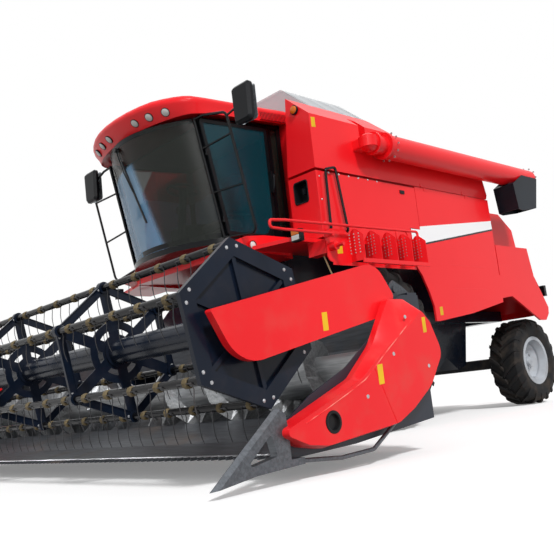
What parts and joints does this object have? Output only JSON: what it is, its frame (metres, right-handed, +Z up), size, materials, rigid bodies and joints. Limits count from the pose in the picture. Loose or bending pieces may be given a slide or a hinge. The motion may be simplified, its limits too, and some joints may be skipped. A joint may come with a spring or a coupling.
{
  "type": "combine harvester",
  "caption": "Self-propelled combine harvester with lifting grain header and hexagonal pick-up reel, hollow cab and grain tank, folded unloading tube and stowed ladder.",
  "frame": {"origin": "on the ground under the middle of the whole machine, header included", "axes": "+Z up, -Y towards the header (forwards), +X to the machine's left"},
  "size_m": [6.9, 8.117, 3.9898],
  "materials": {
    "red_sheet": "glossy",
    "navy_steel": "satin",
    "black_steel": "satin",
    "bare_steel": "worn",
    "cast_iron": "painted",
    "rim_paint": "satin",
    "tyre": "matte",
    "tinted_glass": "clear",
    "lid_plastic": "translucent",
    "black_plastic": "matte",
    "seat_fabric": "woven",
    "spout_rubber": "matte"
  },
  "bodies": {
    "chassis": {"chassis_frame": "navy_steel", "threshing_body": "navy_steel", "front_axle": "cast_iron", "rear_axle": "cast_iron", "grain_tank": "red_sheet", "tank_hopper": "red_sheet", "engine_block": "cast_iron", "engine_cowling": "red_sheet", "exhaust_pipe": "black_steel", "front_side_panels": "red_sheet", "rear_hood": "red_sheet", "chopper_deflector": "red_sheet", "cab_frame": "black_steel", "cab_glass": "tinted_glass", "cab_roof": "red_sheet", "driver_seat": "seat_fabric", "steering_column": "black_plastic", "platform": "red_sheet", "handrails": "black_steel", "corner_frames": "black_steel", "mirrors": "black_plastic", "unloading_stand": "red_sheet", "rear_lamp_arms": "black_steel"},
    "header": {"feeder_house": "navy_steel", "header_trough": "bare_steel", "cutter_bar": "bare_steel", "side_shields": "red_sheet", "crop_dividers": "bare_steel"},
    "auger": {"intake_auger": "bare_steel"},
    "reel_lift_arms": {"reel_arms": "navy_steel", "reel_covers": "red_sheet"},
    "reel": {"reel_frame": "navy_steel", "reel_end_plates": "navy_steel"},
    "lid_left": {"tank_lid_left": "lid_plastic"},
    "lid_right": {"tank_lid_right": "lid_plastic"},
    "panel_left": {"side_panel_left": "red_sheet"},
    "panel_right": {"side_panel_right": "red_sheet"},
    "cab_door": {"cab_door_frame": "black_plastic", "cab_door_glass": "tinted_glass"},
    "unloader": {"unloading_tube": "red_sheet", "unloading_spout": "spout_rubber"},
    "ladder": {"access_ladder": "red_sheet"},
    "cylinder_barrels": {"lift_cylinder_barrels": "black_steel"},
    "cylinder_rods": {"lift_cylinder_rods": "bare_steel"},
    "front_wheel_left": {"front_tyre_left": "tyre", "front_rim_left": "rim_paint"},
    "rear_wheel_left": {"rear_tyre_left": "tyre", "rear_rim_left": "rim_paint"},
    "knuckle_left": {"steering_knuckle_left": "cast_iron"},
    "front_wheel_right": {"front_tyre_right": "tyre", "front_rim_right": "rim_paint"},
    "rear_wheel_right": {"rear_tyre_right": "tyre", "rear_rim_right": "rim_paint"},
    "knuckle_right": {"steering_knuckle_right": "cast_iron"},
    "bat_1": {"reel_bat_1": "black_steel"},
    "bat_2": {"reel_bat_2": "black_steel"},
    "bat_3": {"reel_bat_3": "black_steel"},
    "bat_4": {"reel_bat_4": "black_steel"},
    "bat_5": {"reel_bat_5": "black_steel"},
    "bat_6": {"reel_bat_6": "black_steel"}
  },
  "joints": [
    {"name": "front_wheel_left_spin", "type": "hinge", "parent": "chassis", "child": "front_wheel_left", "pos_m": [1.307, -0.1815, 0.899], "axis": [1, 0, 0], "continuous": true},
    {"name": "front_wheel_right_spin", "type": "hinge", "parent": "chassis", "child": "front_wheel_right", "pos_m": [-1.307, -0.1815, 0.899], "axis": [1, 0, 0], "continuous": true},
    {"name": "steer_left", "type": "hinge", "parent": "chassis", "child": "knuckle_left", "pos_m": [0.85, 3.4185, 0.606], "axis": [0, 0, 1], "range_deg": [-35, 35]},
    {"name": "steer_right", "type": "hinge", "parent": "chassis", "child": "knuckle_right", "pos_m": [-0.85, 3.4185, 0.606], "axis": [0, 0, 1], "range_deg": [-35, 35]},
    {"name": "rear_wheel_left_spin", "type": "hinge", "parent": "knuckle_left", "child": "rear_wheel_left", "pos_m": [1.15, 3.4185, 0.606], "axis": [1, 0, 0], "continuous": true},
    {"name": "rear_wheel_right_spin", "type": "hinge", "parent": "knuckle_right", "child": "rear_wheel_right", "pos_m": [-1.15, 3.4185, 0.606], "axis": [1, 0, 0], "continuous": true},
    {"name": "header_lift", "type": "hinge", "parent": "chassis", "child": "header", "pos_m": [0, -1.0415, 1.64], "axis": [-1, 0, 0], "range_deg": [0, 20]},
    {"name": "auger_spin", "type": "hinge", "parent": "header", "child": "auger", "pos_m": [0, -2.4115, 0.61], "axis": [1, 0, 0], "continuous": true},
    {"name": "reel_lift", "type": "hinge", "parent": "header", "child": "reel_lift_arms", "pos_m": [0, -2.1315, 1.18], "axis": [-1, 0, 0], "range_deg": [0, 22]},
    {"name": "reel_spin", "type": "hinge", "parent": "reel_lift_arms", "child": "reel", "pos_m": [0, -3.5015, 0.963], "axis": [1, 0, 0], "continuous": true},
    {"name": "bat_1_turn", "type": "hinge", "parent": "reel", "child": "bat_1", "pos_m": [0, -3.59348, 1.45447], "axis": [1, 0, 0], "continuous": true},
    {"name": "bat_2_turn", "type": "hinge", "parent": "reel", "child": "bat_2", "pos_m": [0, -3.97311, 1.12908], "axis": [1, 0, 0], "continuous": true},
    {"name": "bat_3_turn", "type": "hinge", "parent": "reel", "child": "bat_3", "pos_m": [0, -3.88114, 0.63761], "axis": [1, 0, 0], "continuous": true},
    {"name": "bat_4_turn", "type": "hinge", "parent": "reel", "child": "bat_4", "pos_m": [0, -3.40952, 0.47153], "axis": [1, 0, 0], "continuous": true},
    {"name": "bat_5_turn", "type": "hinge", "parent": "reel", "child": "bat_5", "pos_m": [0, -3.02989, 0.79692], "axis": [1, 0, 0], "continuous": true},
    {"name": "bat_6_turn", "type": "hinge", "parent": "reel", "child": "bat_6", "pos_m": [0, -3.12186, 1.28839], "axis": [1, 0, 0], "continuous": true},
    {"name": "unloader_swing", "type": "hinge", "parent": "chassis", "child": "unloader", "pos_m": [1.76, -0.2715, 3.12], "axis": [0, 0, -1], "range_deg": [0, 95]},
    {"name": "door_swing", "type": "hinge", "parent": "chassis", "child": "cab_door", "pos_m": [0.898, -1.6635, 2.17], "axis": [0, 0.2008, -0.9796], "range_deg": [0, 75]},
    {"name": "ladder_swing", "type": "hinge", "parent": "chassis", "child": "ladder", "pos_m": [0, -1.0815, 1.9], "axis": [-1, 0, 0], "range_deg": [0, 90]},
    {"name": "lid_left_open", "type": "hinge", "parent": "chassis", "child": "lid_left", "pos_m": [1.29, -0.1815, 3.6553], "axis": [0, 1, 0], "range_deg": [0, 90]},
    {"name": "panel_left_open", "type": "hinge", "parent": "chassis", "child": "panel_left", "pos_m": [1.607, -0.1815, 2.79], "axis": [0, -1, 0], "range_deg": [0, 80]},
    {"name": "lid_right_open", "type": "hinge", "parent": "chassis", "child": "lid_right", "pos_m": [-1.29, -0.1815, 3.6553], "axis": [0, -1, 0], "range_deg": [0, 90]},
    {"name": "panel_right_open", "type": "hinge", "parent": "chassis", "child": "panel_right", "pos_m": [-1.607, -0.1815, 2.79], "axis": [0, 1, 0], "range_deg": [0, 80]},
    {"name": "cylinder_tilt", "type": "hinge", "parent": "chassis", "child": "cylinder_barrels", "pos_m": [0, -0.3715, 0.68], "axis": [-1, 0, 0], "range_deg": [0, 10.5]},
    {"name": "cylinder_stroke", "type": "slide", "parent": "cylinder_barrels", "child": "cylinder_rods", "axis": [0, -0.9975, -0.0712], "range_m": [0, 0.332]}
  ],
  "couplings": [
    {"joint": "steer_right", "follows": "steer_left", "ratio": 1},
    {"joint": "cylinder_tilt", "follows": "header_lift", "ratio": 0.5198},
    {"joint": "cylinder_stroke", "follows": "header_lift", "m_per_rad": 0.94533},
    {"joint": "bat_1_turn", "follows": "reel_spin", "ratio": -1},
    {"joint": "bat_2_turn", "follows": "reel_spin", "ratio": -1},
    {"joint": "bat_3_turn", "follows": "reel_spin", "ratio": -1},
    {"joint": "bat_4_turn", "follows": "reel_spin", "ratio": -1},
    {"joint": "bat_5_turn", "follows": "reel_spin", "ratio": -1},
    {"joint": "bat_6_turn", "follows": "reel_spin", "ratio": -1}
  ]
}
